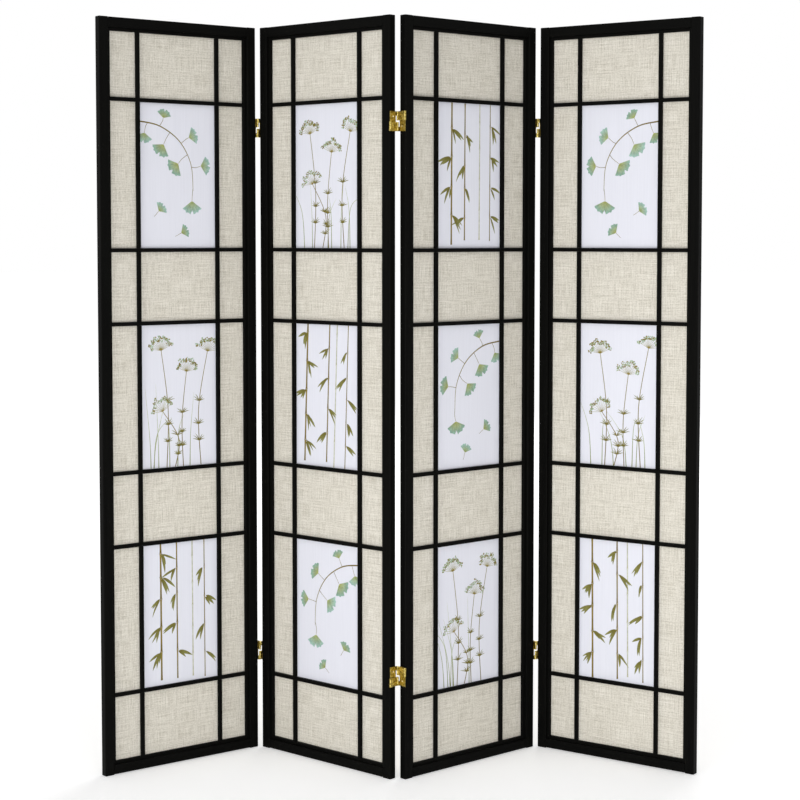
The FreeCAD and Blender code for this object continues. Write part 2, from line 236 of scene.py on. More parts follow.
def linen_cloth():
    """Linen-look woven cloth: matte, warm off-white, crossed by fine darker threads."""
    material, tree, surface = finish_of("linen_weave_cloth", Roughness=0.92,
                                        Specular_IOR_Level=0.1)
    uv = add(tree, "ShaderNodeUVMap", uv_map="flat")
    # Threads lie about 0.6 mm apart, too fine to show, so they are drawn 2.2 mm apart. A thread
    # stays darker or lighter for about 50 mm; its slubs are about 5 mm long. Each row holds the
    # size of such marks in mm, across and up, and their share of the whole.
    fields = []
    for across, up, portion in ((60, 2.2, 0.30), (2.2, 45, 0.30), (5.0, 2.4, 0.22),
                                (2.4, 4.5, 0.18)):
        stretched = add(tree, "ShaderNodeMapping",
                        {"Vector": uv.outputs[0],
                         "Scale": (1 / (across * MM), 1 / (up * MM), 1.0)})
        threads = add(tree, "ShaderNodeTexNoise",
                      {"Vector": stretched.outputs[0], "Scale": 1.0, "Detail": 1.5})
        share = add(tree, "ShaderNodeMath", {0: threads.outputs["Fac"], 1: portion},
                    operation="MULTIPLY")
        fields.append(share.outputs[0])
    weave = fields[0]
    for field in fields[1:]:
        weave = add(tree, "ShaderNodeMath", {0: weave, 1: field}, operation="ADD").outputs[0]
    thread = add(tree, "ShaderNodeValToRGB", {"Fac": weave})
    marks = ((0.36, "#BBB4A5"), (0.47, "#D4CFC2"), (0.53, "#E0DBCF"), (0.64, "#F0ECE2"))
    ramp = thread.color_ramp
    while len(ramp.elements) < len(marks):
        ramp.elements.new(0.5)
    for element, (position, code) in zip(ramp.elements, marks):
        element.position = position
        element.color = linear(code)
    tree.links.new(thread.outputs["Color"], surface.inputs["Base Color"])
    bump = add(tree, "ShaderNodeBump", {"Height": weave, "Strength": 0.5,
                                        "Distance": 0.2 * MM})
    tree.links.new(bump.outputs[0], surface.inputs["Normal"])
    return material


def print_paper():
    """Coated picture sheet: smooth, cool white, its tone streaked faintly lighter and darker up
    and down.
    """
    material, tree, surface = finish_of("coated_print_paper", Roughness=0.6,
                                        Specular_IOR_Level=0.15)
    uv = add(tree, "ShaderNodeUVMap", uv_map="flat")
    # The streaks are about 4 mm wide.
    streak_scale = add(tree, "ShaderNodeMapping",
              {"Vector": uv.outputs[0], "Scale": (1 / (4 * MM), 1 / (160 * MM), 1.0)})
    streaks = add(tree, "ShaderNodeTexNoise", {"Vector": streak_scale.outputs[0], "Scale": 1.0})
    tone = add(tree, "ShaderNodeMix", {"Factor": streaks.outputs["Fac"],
                                       6: linear("#E3E4ED"), 7: linear("#EBECF5")},
               data_type="RGBA")
    tree.links.new(tone.outputs[2], surface.inputs["Base Color"])
    return material


def printed_ink():
    """Printing ink on coated paper: matte, watery, its colours held in the map "ink"."""
    material, tree, surface = finish_of("matte_printing_ink", Roughness=0.6,
                                        Specular_IOR_Level=0.15)
    colour = add(tree, "ShaderNodeAttribute", attribute_name="ink")
    place = add(tree, "ShaderNodeTexCoord")
    # The washes pool in patches about 7 mm across.
    wash = add(tree, "ShaderNodeTexNoise",
               {"Vector": place.outputs["Object"], "Scale": 1 / (7 * MM), "Detail": 2.0})
    light = add(tree, "ShaderNodeMapRange",
                {"Value": wash.outputs["Fac"], "From Min": 0.3, "From Max": 0.7,
                 "To Min": 0.82, "To Max": 1.16})
    shade = add(tree, "ShaderNodeVectorMath",
                {0: colour.outputs["Color"], "Scale": light.outputs[0]}, operation="SCALE")
    tree.links.new(shade.outputs[0], surface.inputs["Base Color"])
    return material


def plated_brass(name, dull, bright):
    """Stamped and brass-plated steel: yellow, faintly rippled, dulled in blotches."""
    material, tree, surface = finish_of(name, Metallic=1.0)
    place = add(tree, "ShaderNodeTexCoord")
    # Stamping leaves ripples about 4 mm apart; the plating's blotches are about 4 mm across.
    ripple = add(tree, "ShaderNodeTexNoise",
                 {"Vector": place.outputs["Object"], "Scale": 1 / (4 * MM), "Detail": 1.0})
    blotch = add(tree, "ShaderNodeTexNoise",
                 {"Vector": place.outputs["Object"], "Scale": 1 / (4 * MM), "Detail": 3.0})
    share = add(tree, "ShaderNodeMapRange",
                {"Value": blotch.outputs["Fac"], "From Min": 0.38, "From Max": 0.62})
    tone = add(tree, "ShaderNodeMix", {"Factor": share.outputs[0], 6: linear(dull),
                                       7: linear(bright)}, data_type="RGBA")
    tree.links.new(tone.outputs[2], surface.inputs["Base Color"])
    rough = add(tree, "ShaderNodeMapRange",
                {"Value": blotch.outputs["Fac"], "To Min": 0.2, "To Max": 0.45})
    tree.links.new(rough.outputs[0], surface.inputs["Roughness"])
    bump = add(tree, "ShaderNodeBump", {"Height": ripple.outputs["Fac"], "Strength": 0.6,
                                        "Distance": 1.0 * MM})
    tree.links.new(bump.outputs[0], surface.inputs["Normal"])
    return material


LACQUER = black_lacquer()
LINEN = linen_cloth()
PAPER = print_paper()
INK = printed_ink()
BRASS = plated_brass("plated_brass_sheet", "#857434", "#CFBB6E")
# The screws and pins take a paler copy of the plated brass: a painted highlight that stands in for
# the glint of their heads and ends.
BRASS_PAINTED_HIGHLIGHT = plated_brass("plated_brass_painted_highlight", "#E0CC8A", "#FBF0C4")


# ---- Making pieces

def linked(name, held):
    """A new object in the scene that holds a mesh, a lamp or a camera."""
    made = bpy.data.objects.new(name, held)
    scene.collection.objects.link(made)
    return made


def baked(holder):
    """The mesh that an object's modifiers give; the object is removed."""
    graph = bpy.context.evaluated_depsgraph_get()
    mesh = bpy.data.meshes.new_from_object(holder.evaluated_get(graph),
                                           preserve_all_data_layers=True, depsgraph=graph)
    holder.modifiers.clear()
    bpy.data.objects.remove(holder)
    return mesh


def stood(name, mesh, panel, replaced=()):
    """Stands a copy of a mesh, made in a panel's own frame, in the screen as a piece."""
    copy = mesh.copy()
    copy.transform(places[panel])
    piece = linked(name, copy)
    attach(piece, "panel_%d" % panel)
    if replaced:
        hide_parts(*replaced)
    return piece


def node_tree(name, *sockets):
    """A new Geometry Nodes tree with these inputs, its input node, and their identifiers."""
    tree = bpy.data.node_groups.new(name, "GeometryNodeTree")
    kinds = {"Places": "Geometry", "Trim": "Vector", "Finish": "Material", "Screw": "Object"}
    for socket in sockets:
        tree.interface.new_socket(socket, in_out="INPUT",
                                  socket_type="NodeSocket" + kinds[socket])
    tree.interface.new_socket("Pieces", in_out="OUTPUT", socket_type="NodeSocketGeometry")
    keys = {item.name: item.identifier for item in tree.interface.items_tree
            if item.in_out == "INPUT"}
    return tree, add(tree, "NodeGroupInput"), keys


def finish_tree(tree, given, pieces):
    """Ends a tree with real meshes in the given finish."""
    whole = add(tree, "GeometryNodeRealizeInstances", {0: pieces})
    finished = add(tree, "GeometryNodeSetMaterial",
                   {"Geometry": whole.outputs[0], "Material": given.outputs["Finish"]})
    add(tree, "NodeGroupOutput", {0: finished.outputs[0]})


def stick_tree():
    """Geometry Nodes: on each point a squared stick of the size that the point holds."""
    tree, given, keys = node_tree("squared sticks", "Places", "Trim", "Finish")
    size = add(tree, "GeometryNodeInputNamedAttribute", {"Name": "size"},
               data_type="FLOAT_VECTOR")
    trimmed_size = add(tree, "ShaderNodeVectorMath",
                       {0: size.outputs["Attribute"], 1: given.outputs["Trim"]},
                       operation="SUBTRACT")
    block = add(tree, "GeometryNodeMeshCube", {"Size": (1.0, 1.0, 1.0)})
    placed = add(tree, "GeometryNodeInstanceOnPoints",
                 {"Points": given.outputs["Places"], "Instance": block.outputs["Mesh"],
                  "Scale": trimmed_size.outputs[0]})
    finish_tree(tree, given, placed.outputs[0])
    return tree, keys


def screw_tree():
    """Geometry Nodes: on each point a screw, turned as the point says."""
    tree, given, keys = node_tree("screws", "Places", "Screw", "Finish")
    turn = add(tree, "GeometryNodeInputNamedAttribute", {"Name": "turn"},
               data_type="FLOAT_VECTOR")
    screw = add(tree, "GeometryNodeObjectInfo", {"Object": given.outputs["Screw"]})
    placed = add(tree, "GeometryNodeInstanceOnPoints",
                 {"Points": given.outputs["Places"], "Instance": screw.outputs["Geometry"],
                  "Rotation": turn.outputs["Attribute"]})
    finish_tree(tree, given, placed.outputs[0])
    return tree, keys


STICKS, STICK_KEYS = stick_tree()
SCREWS, SCREW_KEYS = screw_tree()


def on_points(name, points, attribute, values, tree, inputs):
    """An object of bare points, each with a vector, whose tree puts a piece on each."""
    cloud = bpy.data.meshes.new(name)
    cloud.from_pydata(points, [], [])
    layer = cloud.attributes.new(attribute, "FLOAT_VECTOR", "POINT")
    for item, value in zip(layer.data, values):
        item.vector = value
    holder = linked(name, cloud)
    modifier = holder.modifiers.new(name, "NODES")
    modifier.node_group = tree
    for key, value in inputs.items():
        modifier[key] = value
    return holder


def sticks(boxes, rounding, panel, trim=(0.0, 0.0, 0.0)):
    """The mesh of squared sticks that fill boxes of a panel's frame, their edges rounded over."""
    middles = [(low + high) / 2.0 for low, high in boxes]
    sizes = [high - low for low, high in boxes]
    holder = on_points("sticks", middles, "size", sizes, STICKS,
                       {STICK_KEYS["Trim"]: trim, STICK_KEYS["Finish"]: LACQUER})
    rounded = holder.modifiers.new("rounding", "BEVEL")
    rounded.width = rounding
    rounded.segments = 3
    rounded.limit_method = "ANGLE"
    rounded.harden_normals = True
    mesh = baked(holder)
    map_grain(mesh, panel)
    return mesh


def map_grain(mesh, panel):
    """Lays the map for the wood's grain along each stick, in metres, elsewhere on each panel."""
    sizes = [item.vector.copy() for item in mesh.attributes["size"].data]
    layer = mesh.uv_layers.new(name="grain")
    for loop in mesh.loops:
        point = mesh.vertices[loop.vertex_index].co
        size = sizes[loop.vertex_index]
        along = 0 if size.x > size.z else 2
        layer.data[loop.index].uv = (point[along] + GRAIN_STEP * panel,
                                     point[2 - along] + point.y)
    mesh.attributes.remove(mesh.attributes["size"])


def wood_pieces(panel):
    """Stiles, rails, border strips, lattice and beads of one panel."""
    left = solids(panel, "left_stile")[0]
    right = solids(panel, "right_stile")[0]
    # What level and upright sticks lose of their length to the lines where they butt.
    level = (2.0 * JOINT_LINE, 0.0, 0.0)
    upright = (0.0, 0.0, 2.0 * JOINT_LINE)
    made = {"left_stile": sticks([left], FRAME_ROUNDING, panel),
            "right_stile": sticks([right], FRAME_ROUNDING, panel)}
    for kind in ("bottom_rail", "top_rail"):
        low, high = solids(panel, kind)[0]
        low.x = left[1].x
        high.x = right[0].x
        made[kind] = sticks([(low, high)], FRAME_ROUNDING, panel, level)
    for kind, width in (("lattice_border", BORDER_WIDTH), ("back_beads", BEAD_WIDTH)):
        made[kind] = sticks(ring(panel, kind, width), BAR_ROUNDING, panel)
    made["lattice_crossbars"] = sticks(trimmed(panel, "lattice_crossbars"), BAR_ROUNDING, panel,
                                       level)
    made["lattice_uprights"] = sticks(upright_lengths(panel), BAR_ROUNDING, panel, upright)
    for kind, mesh in made.items():
        name = node_name(panel, kind)
        stood(name + "_wood", mesh, panel, [name])


def opening(panel):
    """The clear opening inside the border strips: its sides, bottom and top."""
    left, right, bottom, top = ring(panel, "lattice_border", BORDER_WIDTH)
    return left[1].x, right[0].x, bottom[1].z, top[0].z


def trimmed(panel, kind):
    """The boxes of the lattice's bars without the stubs that are let into the border."""
    x_low, x_high, z_low, z_high = opening(panel)
    boxes = solids(panel, kind)
    for low, high in boxes:
        low.x, high.x = max(low.x, x_low), min(high.x, x_high)
        low.z, high.z = max(low.z, z_low), min(high.z, z_high)
    return boxes


def upright_lengths(panel):
    """The lengths of the upright bars that show between the crossbars lapped over them."""
    bars = trimmed(panel, "lattice_crossbars")
    lengths = []
    for low, high in trimmed(panel, "lattice_uprights"):
        floors = [low.z] + [bar[1].z for bar in bars]
        roofs = [bar[0].z for bar in bars] + [high.z]
        for z_low, z_high in zip(floors, roofs):
            lengths.append((Vector((low.x, low.y, z_low)), Vector((high.x, high.y, z_high))))
    return lengths


# ---- Papers

def cloth_slab(box, pitch):
    """A thin closed sheet that fills a box, gridded, with a flat map in metres."""
    low, high = box
    columns = max(1, round((high.x - low.x) / pitch))
    rows = max(1, round((high.z - low.z) / pitch))
    mesh = bmesh.new()
    bmesh.ops.create_grid(mesh, x_segments=columns, y_segments=rows, size=0.5)
    layer = mesh.loops.layers.uv.new("flat")
    for vertex in mesh.verts:
        vertex.co = Vector((low.x + (vertex.co.x + 0.5) * (high.x - low.x), low.y,
                            low.z + (vertex.co.y + 0.5) * (high.z - low.z)))
    for face in mesh.faces:
        for loop in face.loops:
            loop[layer].uv = (loop.vert.co.x, loop.vert.co.z)
    return thickened(mesh, high.y - low.y)


def thickened(flat, thickness):
    """The closed mesh that a flat one facing the front gives when it is thickened backwards."""
    mesh = bpy.data.meshes.new("sheet")
    flat.to_mesh(mesh)
    flat.free()
    holder = linked("sheet", mesh)
    thick = holder.modifiers.new("thickness", "SOLIDIFY")
    thick.thickness = thickness
    thick.offset = -1.0
    return baked(holder)


def paper_pieces(panel):
    """The linen sheet, and in front of it the three picture sheets with their printing."""
    box = solids(panel, "linen_sheet")[0]
    mesh = cloth_slab(box, LINEN_PITCH)
    for loop in mesh.uv_layers["flat"].data:
        loop.uv.x += WEAVE_STEP * panel
    mesh.materials.append(LINEN)
    name = node_name(panel, "linen_sheet")
    cloth = stood(name + "_cloth", mesh, panel, [name])
    cells = visible_cells(panel)
    for number, (box, cell) in enumerate(zip(solids(panel, "print_sheets"), cells), 1):
        mesh = cloth_slab(box, PICTURE_PITCH)
        mesh.materials.append(PAPER)
        picture = stood(node_name(panel, "picture_%d" % number), mesh, panel,
                        [node_name(panel, "print_sheets")])
        printing = stood(node_name(panel, "printing_%d" % number),
                         print_mesh(PICTURES[panel][number - 1], cell, box[0].y,
                                    10 * panel + number),
                         panel)


def visible_cells(panel):
    """What shows of each picture sheet between the bars: its middle and half its size."""
    uprights = trimmed(panel, "lattice_uprights")
    bars = trimmed(panel, "lattice_crossbars")
    left, right = uprights[0][1].x, uprights[1][0].x
    cells = []
    for box in solids(panel, "print_sheets"):
        middle = (box[0].z + box[1].z) / 2.0
        floor_of = max(bar[1].z for bar in bars if bar[1].z < middle)
        roof_of = min(bar[0].z for bar in bars if bar[0].z > middle)
        cells.append(((left + right) / 2.0, (floor_of + roof_of) / 2.0,
                      (right - left) / 2.0, (roof_of - floor_of) / 2.0))
    return cells


# ---- Printing on the pictures: lengths in mm from the middle of a sheet, across and up

STEM = ("#6F5F1E", "#8E7D3C")
PALE_STEM = ("#B9B79A", "#C9CABB")
LEAF = ("#6C6328", "#8C8D52")
FAN = ("#B4AF6A", "#86AFA4")
FAN_RIM = ("#ACAF74", "#9AC0BA")
FAN_VEIN = ("#93A25A", "#5F9490")
SEED = ("#8F6A30", "#74803C")
RAY = ("#8E7D3C", "#A3A85E")
GRASS = ("#7F8750", "#BFC79A")

INK_LIFT = 0.03                   # from the sheet's front to the first ink
INK_THICKNESS = 0.06
LAYER_STEP = 0.05                 # between two layers of ink
PATCH_STEP = 0.006                # between two patches of one layer, which lie in turn
PATCH_LEVELS = 8                  # at so many levels
PRINT_EDGE = 0.2                  # clear of the bars round a picture
FINEST_STROKE = 0.12
GROUND = -173                     # where drawn plants stand


def mixed(inks, share):
    """The colour part of the way from one ink to another."""
    first, second = linear(inks[0]), linear(inks[1])
    return tuple(a + (b - a) * share for a, b in zip(first, second))


def new_drawing(seed):
    """An empty drawing with dice of its own."""
    return {"points": [], "faces": [], "inks": [], "count": 0, "dice": random.Random(seed)}


def lay(drawing, layer, points, faces, inks):
    """Adds a patch of ink; a later patch of the same layer lies a little nearer the viewer."""
    start = len(drawing["points"])
    depth = -(LAYER_STEP * layer + PATCH_STEP * (drawing["count"] % PATCH_LEVELS))
    drawing["points"] += [(x, depth, z) for x, z in points]
    drawing["faces"] += [[start + i for i in face] for face in faces]
    drawing["inks"] += inks
    drawing["count"] += 1


def smooth_path(knots, steps):
    """Points along a soft curve through the knots."""
    path = []
    ends = [knots[0]] + list(knots) + [knots[-1]]
    for a, b, c, d in zip(ends, ends[1:], ends[2:], ends[3:]):
        for step in range(steps):
            t = step / steps
            path.append(tuple(0.5 * (2 * q + (r - p) * t + (2 * p - 5 * q + 4 * r - s) * t * t
                                     + (3 * q - p - 3 * r + s) * t ** 3)
                              for p, q, r, s in zip(a, b, c, d)))
    return path + [knots[-1]]


def stroke(drawing, layer, path, widths, inks):
    """A brush stroke along a path; widths are as many as its points."""
    points, colours = [], []
    last = len(path) - 1
    for i, (x, z) in enumerate(path):
        before, after = path[max(i - 1, 0)], path[min(i + 1, last)]
        run = math.hypot(after[0] - before[0], after[1] - before[1]) or 1.0
        side = (-(after[1] - before[1]) / run, (after[0] - before[0]) / run)
        half = max(widths[i], FINEST_STROKE) / 2.0
        points += [(x + side[0] * half, z + side[1] * half),
                   (x - side[0] * half, z - side[1] * half)]
        colours += [mixed(inks, i / last)] * 2
    faces = [(2 * i, 2 * i + 1, 2 * i + 3, 2 * i + 2) for i in range(last)]
    lay(drawing, layer, points, faces, colours)


def line(drawing, layer, knots, start, end, inks, steps):
    """A stroke along a soft curve, its width going from one to another."""
    path = smooth_path(knots, steps)
    last = len(path) - 1
    stroke(drawing, layer, path, [start + (end - start) * i / last for i in range(last + 1)], inks)
    return path


def off(place, turn, reach):
    """The point at a distance from a place in a direction, in radians."""
    return place[0] + math.cos(turn) * reach, place[1] + math.sin(turn) * reach


def blade(drawing, layer, foot, aim, length, width, droop, inks):
    """A lance-shaped leaf from its foot along an aim in degrees, bending by its droop."""
    path, widths = [foot], [0.4]
    stations = 9
    for i in range(1, stations + 1):
        share = i / stations
        path.append(off(path[-1], math.radians(aim + droop * share), length / stations))
        widths.append(width * math.sin(math.pi * share ** 0.75) ** 0.8 if share < 1 else 0.0)
    stroke(drawing, layer, path, widths, inks)


def dot(drawing, layer, place, radius, ink):
    """A round dab."""
    corners = [off(place, i * math.pi / 4, radius) for i in range(8)]
    lay(drawing, layer, corners, [tuple(range(8))], [mixed(ink, 0.5)] * 8)


def fan(drawing, layer, foot, aim, radius, spread):
    """A fan-shaped leaf with a waved, notched rim, yellow-green turning grey-green outwards."""
    dice = drawing["dice"]
    rays, rings = 14, (0.0, 0.35, 0.7, 1.0)
    rim = [1.0 + 0.06 * math.sin(2.4 * i + dice.random()) - (0.28 if i == rays // 2 else 0.0)
           for i in range(rays + 1)]
    inks = dice.choice((FAN, FAN_RIM))
    points, colours = [], []
    for share in rings:
        for i in range(rays + 1):
            turn = math.radians(aim + spread * (i / rays - 0.5))
            reach = radius * (0.04 + 0.96 * share * (rim[i] if share == 1.0 else 1.0))
            points.append(off(foot, turn, reach))
            colours.append(mixed(inks, min(1.0, share * (0.85 + 0.15 * (i % 2)))))
    row = rays + 1
    faces = [(r * row + i, (r + 1) * row + i, (r + 1) * row + i + 1, r * row + i + 1)
             for r in range(len(rings) - 1) for i in range(rays)]
    lay(drawing, layer, points, faces, colours)
    for i in range(1, rays, 2):
        turn = math.radians(aim + spread * (i / rays - 0.5))
        line(drawing, layer + 1, [off(foot, turn, radius * s) for s in (0.12, 0.85)], 0.9, 0.3,
             FAN_VEIN, 2)


def bamboo(drawing):
    """Three jointed culms with drooping leaves, and a pale one behind."""
    dice = drawing["dice"]
    lean = dice.uniform(-0.04, 0.04)
    # Layer, place, width, inks and leaves at each joint.
    culms = ((0, dice.uniform(24, 44), 3.2, PALE_STEM, 0),
             (1, dice.uniform(-72, -52), 4.6, STEM, 4),
             (1, dice.uniform(-18, 2), 3.4, STEM, 3),
             (1, dice.uniform(60, 78), 2.4, STEM, 3))
    bottom, top = -180.0, 175.0
    for layer, x, width, inks, leaves in culms:
        z = bottom + dice.uniform(0.0, 30.0)
        while z < top:
            joint = z + dice.uniform(52.0, 74.0)
            foot, tip = (x + lean * z, z + 0.9), (x + lean * joint, joint - 0.9)
            knots = [foot, ((foot[0] + tip[0]) / 2.0, (foot[1] + tip[1]) / 2.0), tip]
            path = smooth_path(knots, 4)
            # A culm thickens towards its joints.
            stroke(drawing, layer, path,
                   [width * (1.0 + 0.3 * abs(2.0 * i / 8 - 1.0) ** 4) for i in range(9)], inks)
            line(drawing, layer + 1,
                 [(tip[0] - 0.85 * width, joint), (tip[0] + 0.85 * width, joint)],
                 1.3, 1.3, inks, 2)
            side = dice.choice((-1, 1))
            for i in range(leaves if -150 < joint < 160 else 0):
                aim = -90 + side * dice.uniform(15, 80)
                start = (tip[0] + side * dice.uniform(1, 6), joint - dice.uniform(0, 5))
                blade(drawing, 2, start, aim, dice.uniform(26, 46), dice.uniform(4.5, 7.5),
                      -side * dice.uniform(5, 30), LEAF)
            z = joint


def fan_twig(drawing):
    """A drooping twig of fan-shaped leaves, two of them falling."""
    dice = drawing["dice"]
    way = dice.choice((-1, 1))
    knots = [(-way * 106, 128), (-way * 48, 118), (way * 6, 84), (way * 38, 30), (way * 44, -34)]
    path = line(drawing, 1, knots, 3.4, 1.1, STEM, 8)
    # Place along the twig, aim in degrees, length of the stalk and radius of the leaf.
    leaves = ((0.14, -110, 26, 24), (0.28, 62, 22, 21), (0.40, -122, 34, 30), (0.56, 34, 26, 25),
              (0.66, -140, 34, 29), (0.80, 8, 26, 26), (0.99, -96, 30, 31))
    for share, aim, stalk, radius in leaves:
        x, z = path[int(share * (len(path) - 1))]
        turn = math.radians(aim if way > 0 else 180 - aim)
        end = off((x, z), turn, stalk)
        bend = ((x + end[0]) / 2.0 + dice.uniform(-4, 4),
                (z + end[1]) / 2.0 + dice.uniform(-3, 3))
        line(drawing, 1, [(x, z), bend, end], 1.3, 0.9, STEM, 4)
        fan(drawing, 2, end, math.degrees(turn) + dice.uniform(-14, 14), radius,
            dice.uniform(104, 134))
    for x, z in ((-way * 52, -84), (way * 10, -136)):
        aim = dice.uniform(20, 160)
        line(drawing, 1, [off((x, z), math.radians(aim), -18), (x, z)], 0.7, 1.0, STEM, 3)
        fan(drawing, 2, (x, z), aim, dice.uniform(19, 24), dice.uniform(100, 128))


def seed_heads(drawing):
    """Tall stems with rayed seed heads among arching grasses."""
    dice = drawing["dice"]
    for i in range(7):
        x = dice.uniform(-80, 80)
        sway = dice.uniform(-60, 60)
        line(drawing, 0, [(x, GROUND), (x + sway * 0.2, -90 + dice.uniform(-20, 20)),
                          (x + sway, -30 + dice.uniform(-30, 70))], 2.4, 0.3, GRASS, 7)
    # Foot of the stem, its lean, the height of its head and the number of rays.
    stems = ((-44, -14, 96, 15), (14, 10, 42, 13), (52, 20, 118, 13), (-6, -34, -30, 11))
    for x, lean, top, rays in stems:
        x += dice.uniform(-10, 10)
        top += dice.uniform(-16, 16)
        head = (x + lean, top)
        path = line(drawing, 1, [(x, GROUND), (x - lean * 0.3, (top + GROUND) / 2.0), head],
                    2.3, 1.5, STEM, 8)
        for share in (0.25, 0.42, 0.6):
            spot = path[int(share * (len(path) - 1))]
            for side in (-1, 1):
                for turn in (18, 38, 60):
                    blade(drawing, 1, spot, 90 - side * turn, dice.uniform(12, 22), 2.0,
                          -side * 25, LEAF)
        for i in range(rays):
            turn = math.radians(90 - lean * 0.6 + 146.0 * (i / (rays - 1) - 0.5))
            end = off(head, turn, dice.uniform(24, 34))
            line(drawing, 1, [head, end], 0.9, 0.6, RAY, 3)
            for k in range(6):
                seed = off(end, math.radians(60 * k + dice.uniform(0, 60)),
                           dice.uniform(1.5, 5.0))
                dot(drawing, 3, seed, dice.uniform(1.3, 2.3),
                    dice.choice((SEED, SEED, FAN_RIM, FAN)))


PICTURES = {1: (bamboo, seed_heads, fan_twig), 2: (fan_twig, bamboo, seed_heads),
            3: (seed_heads, fan_twig, bamboo), 4: (bamboo, seed_heads, fan_twig)}


def print_mesh(picture, cell, paper_front, seed):
    """The printing of one picture, kept to what shows of its sheet, as thin closed patches."""
    drawing = new_drawing(seed)
    picture(drawing)
    flat = bmesh.new()
    colours = flat.loops.layers.float_color.new("ink")
    corners = [flat.verts.new((cell[0] + x * MM, paper_front + (y - INK_LIFT) * MM,
                               cell[1] + z * MM)) for x, y, z in drawing["points"]]
    for face in drawing["faces"]:
        made = flat.faces.new([corners[i] for i in face])
        for loop, i in zip(made.loops, face):
            loop[colours] = drawing["inks"][i]
    flat.normal_update()
    for face in flat.faces:
        if face.normal.y > 0.0:
            face.normal_flip()
    edge = PRINT_EDGE * MM
    for axis, middle, half in ((0, cell[0], cell[2] - edge), (2, cell[1], cell[3] - edge)):
        for side in (-1.0, 1.0):
            place, normal = Vector((0.0, 0.0, 0.0)), Vector((0.0, 0.0, 0.0))
            place[axis] = middle + side * half
            normal[axis] = side
            everything = flat.verts[:] + flat.edges[:] + flat.faces[:]
            bmesh.ops.bisect_plane(flat, geom=everything, plane_co=place, plane_no=normal,
                                   clear_outer=True)
    mesh = thickened(flat, INK_THICKNESS * MM)
    mesh.materials.append(INK)
    return mesh


# ---- Hinges

def walls(body, rings):
    """Faces between rings of corners that follow each other."""
    for lower, upper in zip(rings, rings[1:]):
        for i in range(len(lower)):
            j = (i + 1) % len(lower)
            body.faces.new((lower[i], lower[j], upper[j], upper[i]))


def prism(outline, along, low, high):
    """A closed mesh with this outline in the plane across an axis, from low to high on it."""
    body = bmesh.new()
    others = [axis for axis in range(3) if axis != along]
    ends = []
    for level in (low, high):
        corners = []
        for point in outline:
            place = Vector((0.0, 0.0, 0.0))
            place[others[0]], place[others[1]], place[along] = point[0], point[1], level
            corners.append(body.verts.new(place))
        ends.append(corners)
    body.faces.new(ends[0])
    body.faces.new(ends[1])
    walls(body, ends)
    return finished_mesh(body)


def lathe(profile, steps):
    """A closed round mesh about z from the radii and heights of its profile."""
    body = bmesh.new()
    rings = []
    for radius, height in profile:
        rings.append([body.verts.new((radius * math.cos(2 * math.pi * i / steps),
                                      radius * math.sin(2 * math.pi * i / steps), height))
                      for i in range(steps)])
    walls(body, rings)
    body.faces.new(rings[0])
    body.faces.new(rings[-1])
    return finished_mesh(body)


def finished_mesh(body):
    """A mesh from a build of faces, its normals turned outwards."""
    bmesh.ops.recalc_face_normals(body, faces=body.faces)
    mesh = bpy.data.meshes.new("hinge")
    body.to_mesh(mesh)
    body.free()
    return mesh


def combined(base, steps):
    """A mesh after others are joined to it ("UNION") or cut from it ("DIFFERENCE")."""
    holder = linked("hinge", base)
    tools = []
    for operation, mesh in steps:
        tool = linked("tool", mesh)
        tools.append(tool)
        change = holder.modifiers.new("change", "BOOLEAN")
        change.operation = operation
        change.solver = "EXACT"
        change.object = tool
    mesh = baked(holder)
    for tool in tools:
        bpy.data.objects.remove(tool)
    body = bmesh.new()
    body.from_mesh(mesh)
    bmesh.ops.remove_doubles(body, verts=body.verts, dist=CUT_WELD)
    body.to_mesh(mesh)
    body.free()
    return mesh


def brass_finish(mesh, finish):
    """Gives a hinge's mesh its finish, with smooth rounds and crisp edges."""
    mesh.materials.clear()
    mesh.materials.append(finish)
    mesh.polygons.foreach_set("use_smooth", [True] * len(mesh.polygons))
    mesh.set_sharp_from_angle(angle=math.radians(CREASE))
    return mesh


def circle(radius, start, end, steps):
    """Points on a circle about the origin between two angles in degrees."""
    turns = [math.radians(start + (end - start) * i / steps) for i in range(steps + 1)]
    return [(radius * math.cos(turn), radius * math.sin(turn)) for turn in turns]


def rolled(aim, seam):
    """A strip that comes to a pin along an aim and rolls round it: its outside, then its
    inside back again. Degrees; the seam is what stays open."""
    start = math.degrees(math.asin(PLATE / 2.0 / KNUCKLE_RADIUS))
    return (circle(KNUCKLE_RADIUS, aim + start, aim + 360 - start - seam, ROLL_STEPS)
            + circle(BORE_RADIUS, aim + 360 - start - seam, aim - start, ROLL_STEPS))


def rolled_knuckle(at_back):
    """The left leaf's tongue, web and knuckle: a strip bent over and rolled round the pin."""
    web = AXIS_OUT - PLATE / 2.0
    bend = [(HALF_WIDTH - PLATE + x, web + y) for x, y in circle(PLATE, 0, 90, 4)]
    roll = [(x, AXIS_OUT + y) for x, y in rolled(0, LEAF_SEAM)]
    outline = ([(HALF_WIDTH, -PLATE)] + bend + roll
               + [(WEB_MEETS, web), (HALF_WIDTH - PLATE, web), (HALF_WIDTH - PLATE, -PLATE)])
    placed = [(-x, PANEL_DEPTH + y if at_back else -y) for x, y in outline]
    low, high = LEAF_SLOT if at_back else (-LEAF_SLOT[1], -LEAF_SLOT[0])
    return prism(placed, 2, low, high)


def across_x(mesh, x, z):
    """Lays a round mesh made about z along x, through a plate at the screws' depth."""
    mesh.transform(Matrix.Translation((x, SCREW_DEPTH, z))
                   @ Matrix.Rotation(math.pi / 2.0, 4, "Y"))
    return mesh


